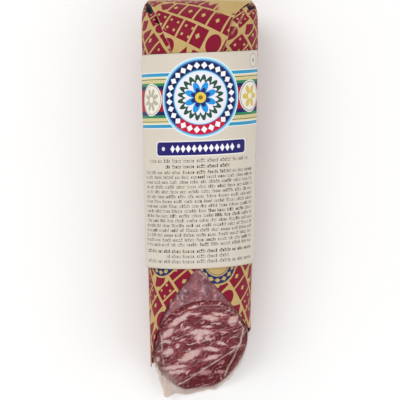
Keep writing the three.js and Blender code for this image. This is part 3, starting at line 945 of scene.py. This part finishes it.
def make_film():
    """The film shrinks on to the casing, stands proud of the cut's rim and is gathered at the lower left."""
    film = bpy.context.scene.sausage_film
    turn = turns(380, KNOT_TURN)
    side = body_rows(turn, film.inset, 22 * MM, POUCH_HIGH.y - 2 * MM, 96, film.stand_off - FILM_RIM)
    face = cut_rows(turn, film.inset, FILM_RIM, 130)[0]
    face = face + cut_normal() * film.stand_off
    at = face_coordinates(face)
    ridge = np.zeros(face.shape[:2])
    haze_and_highlight = np.zeros(face.shape[:2])
    wander = lumps(face, 11, 16 * MM)[..., None] * 0.35
    patchy = np.clip(0.72 + 0.4 * lumps(face, 12, 9 * MM), 0.45, 1)
    # Each crease is raised, and made milky along its ridge; that milky line is partly painted highlight of
    # the ridge.
    for run, strength in CREASES:
        away = distance_to_run(at + wander, run)
        ridge = np.maximum(ridge, strength * bump(away, 0, 0.75))
        haze_and_highlight = np.maximum(haze_and_highlight, 0.8 * min(1, strength + 0.15) * bump(away, 0, 0.42) * patchy)
    face = face + cut_normal() * (ridge * film.crease)[..., None]
    points = np.concatenate([side, face])
    haze_and_highlight = np.concatenate([np.zeros(side.shape[:2]), haze_and_highlight])
    # The lip below the rim, widest at the knot, and pleats that run away from it.
    rim = on_body(cut_y(turn, film.inset), turn, film.inset)
    from_rim = np.linalg.norm(points - rim, axis=-1)
    wrapped = (turn - KNOT_TURN + math.pi) % (2 * math.pi) - math.pi
    low = step(turn, 95 * DEG, 130 * DEG) * (1 - step(turn, 245 * DEG, 275 * DEG))
    ragged = 1 + 0.3 * lumps(rim, 8, 7 * MM)
    knot = bump(wrapped, 0, 12.5 * DEG)
    foot = step(turn, 165 * DEG, 205 * DEG) * (1 - step(turn, 228 * DEG, 240 * DEG))
    lip = (1.1 * low * ragged + 1.3 * foot + 7.0 * knot) * MM
    reach = bump(from_rim, 0, 1.5 * MM + 2.4 * MM * np.maximum(knot, 0.5 * foot))
    points = points + (lip * reach)[..., None] * np.array([0.0, -1.0, 0.12])
    pleat = np.sin(wrapped * 46 + 1.5 * lumps(rim, 9, 9 * MM))
    fade = bump(wrapped, 0, 24 * DEG) * np.exp(-from_rim / (9 * MM))
    points = points + (pleat * fade * 0.55 * MM)[..., None] * (outward(turn) + cut_normal()) / 1.6
    gathered = np.maximum(low * 0.85 * bump(from_rim, 0, 2.0 * MM), fade * np.maximum(0, pleat) * 0.55)
    gathered = np.maximum(gathered, 1.2 * knot * bump(from_rim, 0, 4.6 * MM))
    haze_and_highlight = np.clip(np.maximum(haze_and_highlight, gathered), 0, 0.96)
    points[..., 2] = np.maximum(points[..., 2], 0.15 * MM)
    maps = {"OFBake": layer_maps(turn, side, face)}
    piece = grid_piece("vacuum_film", points, True, maps, {"haze_and_highlight": haze_and_highlight})
    return finish_piece(piece, shrink_film(), "clear_film", "vacuum_pouch")


def window_edge(turn):
    """Where the paper ends: an upturned V under the label, low at the sides and lowest round the back."""
    apex, side_y, tip = -32.65 * MM, -70.0 * MM, -99.3 * MM
    left_foot, bend = -90.5 * MM, 31
    turn = (turn + 126 * DEG) % (2 * math.pi) - 126 * DEG
    arc = (turn * radius_at(apex)) / MM + 1.0
    left, right = np.maximum(0, -arc), np.maximum(0, arc)
    left_y = apex - (1.22 * left + 0.03 * np.maximum(0, left - 18) ** 2) * MM
    left_y = np.maximum(left_y, left_foot + (tip - left_foot) * step(left, 58, 67))
    # The right leg runs down in a shallow curve, and past the bend it eases into the side's level.
    right_y = apex - (1.13 * right - 0.0035 * right ** 2) * MM
    eased = apex - (1.13 * bend - 0.0035 * bend ** 2) * MM
    right_y = np.where(right > bend, eased + (side_y - eased) * (1 - np.exp(-(right - bend) / 6)), right_y)
    back = side_y + (tip - side_y) * np.clip((turn - 90 * DEG) / (144 * DEG), 0, 1)
    right_y = np.where(turn > 90 * DEG, back, right_y)
    return np.where(arc < 0, np.maximum(left_y, tip), right_y)


def end_profile(rise, radius, inset=0.0):
    """Half width, half height and squareness of the closing end: a circle at rise 0, flat at 90 degrees."""
    half_width = radius * (1 - 0.16 * (1 - np.cos(rise)) ** 2)
    half_height = np.maximum(radius * np.cos(rise), 3 * MM - inset)
    return half_width, half_height, 2 + 1.6 * np.sin(rise)


def end_section(rise, turn, inset):
    """The closing end: it keeps its width and loses its height. Rise 0 is the body and 90 degrees is shut."""
    half_width, half_height, power = end_profile(rise, radius_at(FOLD_Y) - inset, inset)
    sine, cosine = np.sin(turn), np.cos(turn)
    x = half_width * np.sign(sine) * np.abs(sine) ** (2 / power)
    upward = np.sign(cosine) * np.abs(cosine) ** (2 / power)
    z = np.maximum(0, axis_at(FOLD_Y) + (half_height + inset) * upward) - inset * upward
    y = FOLD_Y + (FOLD_REACH - inset) * np.sin(rise)
    return spread(x, y, z)


def front_height(x, y):
    """Height of the wrapper's outside at a place on its front."""
    rise = np.arcsin(np.clip((y - FOLD_Y) / FOLD_REACH, 0, 1))
    below = np.minimum(y, FOLD_Y)
    half_width, half_height, power = end_profile(rise, radius_at(below))
    across = np.minimum(1, np.abs(x) / half_width)
    return axis_at(below) + half_height * (1 - across ** power) ** (1 / power)


# Pockets beside the flap, where the paper dives under it: across, along from the fold, half sizes in mm.
# Their hollows are also painted near-black, as painted shade.
POCKETS = [(-28.2, 17.4, 2.3, 2.8), (-22.6, 11.3, 1.6, 2.8), (28.2, 17.9, 2.8, 1.3)]


def shut_rows(turn, inset):
    """Rows of the wrapper's closed end, from inside its shut fold out to its rim and down to the body."""
    rows = []
    for pinch in (1.0, 0.5):
        flat = end_section(math.pi / 2, turn, inset)
        flat[..., 1] -= pinch * 2.2 * MM
        flat[..., 2] = axis_at(FOLD_Y) + (flat[..., 2] - axis_at(FOLD_Y)) * (1 - pinch)
        rows.append(flat)
    for rise in np.linspace(1, 0, 36) ** 0.8 * math.pi / 2:
        rows.append(end_section(rise, turn, inset))
    return rows


def make_wrapper():
    """The paper is rolled on, overlaps underneath, is shut at one end and is cut to a window at the other."""
    paper = bpy.context.scene.sausage_paper
    columns = 340
    start, overlap = -160 * DEG, 22 * DEG
    turn = start + np.linspace(0, 1, columns) * (2 * math.pi + overlap)
    under = 1 - step(turn, start + overlap, start + overlap + 14 * DEG)
    inset = (paper.thickness + 0.1 * MM) * under
    rows = shut_rows(turn, inset)
    edge = window_edge(turn)
    for s in np.linspace(0, 1, 108)[1:]:
        rows.append(on_body(FOLD_Y + (edge - FOLD_Y) * s, turn, inset))
    points = np.array(rows)
    x, y = points[..., 0], points[..., 1]
    facing = normals_of(points)
    # Slack in the sheet, and a small lift along the window's edge.
    slack = lumps(points * (1, 0.45, 1), 21, 26 * MM) * step(np.cos(turn), -0.4, 0.3)
    lift = np.exp(-(y - edge) / (1.6 * MM)) * (0.28 + 0.12 * np.sin(turn * 9)) * (y < FOLD_Y)
    points = points + facing * ((0.16 * slack + 0.9 * lift) * MM)[..., None]
    # Creases beside the flap, and pockets under its edge, dented in and painted near-black as painted shade.
    along = (y - FOLD_Y) / MM
    top = step(along, 1, 5) * step(np.cos(turn), 0.0, 0.25)
    ear = np.abs(x / MM) - (27.5 - 0.62 * (20.0 - along))
    crease = (0.7 * bump(ear, 0, 0.9) - 0.5 * bump(ear, 2.4, 1.6)) * top
    points = points + facing * (crease * MM)[..., None]
    dark = np.zeros(x.shape)
    for px, py, half_x, half_y in POCKETS:
        inside = np.exp(-((x / MM - px) / half_x) ** 4 - ((along - py) / half_y) ** 4) * (np.cos(turn) > 0)
        dark = np.maximum(dark, inside)
    points = points - facing * (dark * 2.6 * MM)[..., None]
    points[..., 2] = np.maximum(points[..., 2], 0)
    wear = 0.9 * bump(ear, 0, 0.42) * top * (0.7 + 0.3 * np.sin(along * 2.3))
    # The print follows the sheet, and is pulled outwards where its sides fold in.
    arc_u = turn * radius_at(0) / MM + step(along, -4, 16) * np.sign(x) * 6.0
    over_end = np.arcsin(np.clip(along * MM / FOLD_REACH, 0, 1)) * FOLD_REACH / MM * 1.25
    arc_v = np.where(along > 0, over_end, along) + FOLD_Y / MM
    bake = spread(np.linspace(0.01, 0.99, columns)[None], np.linspace(0.99, 0.01, len(points))[:, None])
    # The pocket mask paints near-black shade into the dents: painted shade.
    values = {"bare": 0 * x, "wear": wear, "pocket_shade": step(dark, 0.25, 0.55)}
    maps = {"OFBake": bake, "print_mm": np.stack([arc_u, arc_v], -1)}
    piece = grid_piece("paper_wrapper_sheet", points, False, maps, values, paper.thickness, -1.0)
    return finish_piece(piece, straw_paper(), "straw_paper", "paper_wrapper")


# The folded flap's edges: along from the fold, left and right in mm.
FLAP_EDGES = [
    (-8.6, -14.8, 11.2), (-2, -16.4, 13.6), (1.4, -18.5, 14.6), (4.9, -19.8, 15.4), (8.5, -21.2, 16.4),
    (12.1, -22.9, 18.4), (14.7, -24.5, 20.4), (17.3, -26.2, 23.8), (19.6, -28.0, 27.2), (20.9, -28.8, 28.4),
]


def flap_sides(along):
    """The flap's left and right edges in mm, smoothed."""
    places, *edges = np.transpose(FLAP_EDGES)
    sides = [np.pad(np.interp(along, places, edge), 3, mode="edge") for edge in edges]
    return [np.convolve(side, np.ones(7) / 7, "valid") for side in sides]


def make_flap():
    """The end's flap, folded over on to the front and tucked under the label."""
    paper = bpy.context.scene.sausage_paper
    lowest, highest = FLAP_EDGES[0][0], 20.6
    along = lowest + (highest - lowest) * (1 - (1 - np.linspace(0, 1, 90)) ** 1.6)
    left, right = flap_sides(along)
    across = np.linspace(0, 1, 110)
    x = (left[:, None] + (right - left)[:, None] * across[None]) * MM
    y = (FOLD_Y + along * MM)[:, None] + 0 * x
    points = np.stack([x, y, front_height(x, y)], -1)
    facing = -normals_of(points)
    # It lifts along its edges, more so towards the end, and has a little slack on the right.
    edge = np.minimum(across, 1 - across)[None]
    rise = step(along, 4, 18)[:, None]
    lift = 0.45 + 0.55 * np.exp(-edge / 0.05) * (0.3 + 1.1 * rise) + 0.25 * lumps(points, 31, 22 * MM)
    lift = lift * (1 - 0.6 * step(along, 17.5, 20.5))[:, None]
    slack = 0.35 * bump(x / MM - 15 + (y - FOLD_Y) / MM * 0.3, 0, 1.3) * step(along, -2, 3)[:, None]
    points = points + facing * ((np.maximum(lift, 0.3) + slack) * MM)[..., None]
    # Over the top it turns down a little way behind the closed end.
    turned = [points]
    over_rows = np.arange(1, 9)
    for swing in over_rows / 8 * math.pi:
        drop = np.array([0, 0.3 * MM * math.sin(swing), -1.6 * MM * (1 - math.cos(swing))])
        turned.append(points[-1:] + drop)
    points = np.concatenate(turned)
    spine = np.concatenate([along, along[-1] + over_rows * 0.45])
    middle = points[:, len(across) // 2]
    arc = np.concatenate([[0], np.cumsum(np.linalg.norm(np.diff(middle, axis=0), axis=1))]) / MM
    u = points[..., 0] / MM
    v = arc[:, None] + 0 * u
    askew = -24 * DEG
    print_mm = np.stack([u * math.cos(askew) - v * math.sin(askew) + 61.0,
                         u * math.sin(askew) + v * math.cos(askew) + 4.0], -1)
    high = step(spine, 12.5, 14.0)[:, None] * step(u, 8.0, 11.0)
    bare = np.maximum(high, step(spine, 18.2, 18.8)[:, None] * step(u, 4.0, 6.0))
    wear = 0.75 * bump(edge, 0, 0.008) + 0.5 * bump(spine, 20.5, 0.25)[:, None]
    bake = spread(across[None], np.linspace(0.01, 0.99, len(spine))[:, None]) * 0.98 + 0.01
    values = {"bare": bare, "wear": wear, "pocket_shade": 0 * u}
    maps = {"OFBake": bake, "print_mm": print_mm}
    piece = grid_piece("paper_wrapper_flap", points, False, maps, values, paper.thickness, 1.0, True)
    return finish_piece(piece, bpy.data.materials["straw_paper_printed"], "straw_paper")


def make_label():
    """The label is laid round the front over the flap, a little askew, and its edges lift."""
    label = bpy.context.scene.sausage_label
    u = np.linspace(-0.5, 0.5, 150)[None] * label.width
    v = np.linspace(0.5, -0.5, 90)[:, None] * label.height
    centre = (LABEL_LOW.y + LABEL_HIGH.y) / 2
    around = u * math.cos(label.tilt) - label.aside + 0 * v
    y = centre + v * math.cos(label.tilt) + u * math.sin(label.tilt)
    edge = np.minimum(label.width / 2 - np.abs(u), label.height / 2 - np.abs(v))
    slack = lumps(np.stack([around, y, 0 * y], -1), 41, 34 * MM)
    lift = label.lift + (0.5 * np.exp(-edge / (1.5 * MM)) + 0.22 + 0.16 * slack) * MM
    points = on_body(y, around / radius_at(y), -lift)
    flap_under = step((y - FOLD_Y) / MM, -12, -6) * bump((points[..., 0] / MM + 1.5) / 14, 0, 1)
    points[..., 2] += flap_under * 0.7 * MM
    bake = spread(u / label.width, v / label.height) * 0.98 + 0.5
    maps = {"OFBake": bake, "label_mm": spread(u / MM, v / MM)}
    piece = grid_piece("label_sheet", points, False, maps, thickness=label.thickness, outwards=1.0)
    return finish_piece(piece, label_paper(), "label_paper", "label")


# ---------------------------------------------------------------- floor, lights and camera

def make_stage():
    """A plain floor, three soft lamps in a white room, and a long lens nearly straight above."""
    scene = bpy.context.scene
    stage = scene.sausage_stage
    bpy.ops.mesh.primitive_plane_add(size=4)
    floor = bpy.context.object
    floor.name = "floor"
    floor.data.materials.append(pale_floor())
    middle = Vector((0, 1.45 * MM, axis_at(0)))
    lamps = [
        ("window_light", (-0.55, 0.65, 1.0), 0.8, 4.6),
        ("fill_light", (0.75, -0.15, 0.9), 0.9, 1.8),
        ("low_light", (-0.1, -0.9, 0.7), 0.7, 1.8),
    ]
    for name, place, size, power in lamps:
        lamp = bpy.data.lights.new(name, "AREA")
        lamp.shape = "DISK"
        lamp.size = size
        lamp.energy = power
        holder = bpy.data.objects.new(name, lamp)
        scene.collection.objects.link(holder)
        holder.location = place
        holder.rotation_euler = (middle - holder.location).to_track_quat("-Z", "Y").to_euler()
    world = bpy.data.worlds.new("soft_white_room")
    world.use_nodes = True
    world.node_tree.nodes["Background"].inputs["Color"].default_value = linear("#fbfbfc")
    world.node_tree.nodes["Background"].inputs["Strength"].default_value = 0.72
    scene.world = world
    scene.view_settings.view_transform = "Standard"
    lens = bpy.data.cameras.new("camera")
    lens.lens = stage.lens
    lens.sensor_width = 36
    camera = bpy.data.objects.new("camera", lens)
    scene.collection.objects.link(camera)
    towards = Vector((0, math.sin(stage.lean), math.cos(stage.lean)))
    camera.location = middle + towards * stage.distance
    camera.rotation_euler = (-stage.lean, 0, 0)
    scene.camera = camera
    return floor


# ---------------------------------------------------------------- operators and the panel

def finished(operator, context, piece):
    """Fails loudly when an operator made nothing."""
    if piece is None or piece.name not in context.scene.objects:
        raise RuntimeError(operator.bl_label + " made nothing")
    return {"FINISHED"}


class SAUSAGE_OT_meat(bpy.types.Operator):
    """Make the cured meat with its bias-cut face"""
    bl_idname = "sausage.meat"
    bl_label = "Cured meat"
    bl_options = {"REGISTER", "UNDO"}

    def execute(self, context):
        return finished(self, context, make_meat())


class SAUSAGE_OT_casing(bpy.types.Operator):
    """Make the natural casing"""
    bl_idname = "sausage.casing"
    bl_label = "Casing"
    bl_options = {"REGISTER", "UNDO"}

    def execute(self, context):
        return finished(self, context, make_casing())


class SAUSAGE_OT_tie(bpy.types.Operator):
    """Make the twisted twine round the closed end"""
    bl_idname = "sausage.tie"
    bl_label = "Twine"
    bl_options = {"REGISTER", "UNDO"}

    def execute(self, context):
        return finished(self, context, make_tie())


class SAUSAGE_OT_film(bpy.types.Operator):
    """Make the clear vacuum film"""
    bl_idname = "sausage.film"
    bl_label = "Vacuum film"
    bl_options = {"REGISTER", "UNDO"}

    def execute(self, context):
        return finished(self, context, make_film())


class SAUSAGE_OT_wrapper(bpy.types.Operator):
    """Make the printed straw-paper wrapper"""
    bl_idname = "sausage.wrapper"
    bl_label = "Paper wrapper"
    bl_options = {"REGISTER", "UNDO"}

    def execute(self, context):
        return finished(self, context, make_wrapper())


class SAUSAGE_OT_flap(bpy.types.Operator):
    """Make the wrapper's folded flap"""
    bl_idname = "sausage.flap"
    bl_label = "Folded flap"
    bl_options = {"REGISTER", "UNDO"}

    def execute(self, context):
        return finished(self, context, make_flap())


class SAUSAGE_OT_label(bpy.types.Operator):
    """Make the printed label"""
    bl_idname = "sausage.label"
    bl_label = "Label"
    bl_options = {"REGISTER", "UNDO"}

    def execute(self, context):
        return finished(self, context, make_label())


class SAUSAGE_OT_stage(bpy.types.Operator):
    """Make the floor, the lights and the camera"""
    bl_idname = "sausage.stage"
    bl_label = "Stage"
    bl_options = {"REGISTER", "UNDO"}

    def execute(self, context):
        return finished(self, context, make_stage())


OPERATORS = (SAUSAGE_OT_meat, SAUSAGE_OT_casing, SAUSAGE_OT_tie, SAUSAGE_OT_film, SAUSAGE_OT_wrapper,
             SAUSAGE_OT_flap, SAUSAGE_OT_label, SAUSAGE_OT_stage)


class SAUSAGE_PT_panel(bpy.types.Panel):
    """The sausage's settings and its pieces"""
    bl_idname = "SAUSAGE_PT_panel"
    bl_label = "Wrapped half sausage"
    bl_space_type = "VIEW_3D"
    bl_region_type = "UI"
    bl_category = "Sausage"

    def draw(self, context):
        for name, group in GROUPS.items():
            box = self.layout.box()
            box.label(text=group.__doc__)
            for setting in group.__annotations__:
                box.prop(getattr(context.scene, name), setting)
        for operator in OPERATORS:
            self.layout.operator(operator.bl_idname)


CLASSES = tuple(GROUPS.values()) + OPERATORS + (SAUSAGE_PT_panel,)


def register():
    """Registers the settings, the operators and the panel."""
    for item in CLASSES:
        bpy.utils.register_class(item)
    for name, group in GROUPS.items():
        setattr(bpy.types.Scene, name, bpy.props.PointerProperty(type=group))


def unregister():
    """Takes them away again."""
    for name in GROUPS:
        delattr(bpy.types.Scene, name)
    for item in reversed(CLASSES):
        bpy.utils.unregister_class(item)


def main():
    """Builds every piece and the stage."""
    register()
    bpy.ops.sausage.meat()
    bpy.ops.sausage.casing()
    bpy.ops.sausage.tie()
    bpy.ops.sausage.film()
    bpy.ops.sausage.wrapper()
    bpy.ops.sausage.flap()
    bpy.ops.sausage.label()
    bpy.ops.sausage.stage()
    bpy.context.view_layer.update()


if __name__ == "__main__":
    main()
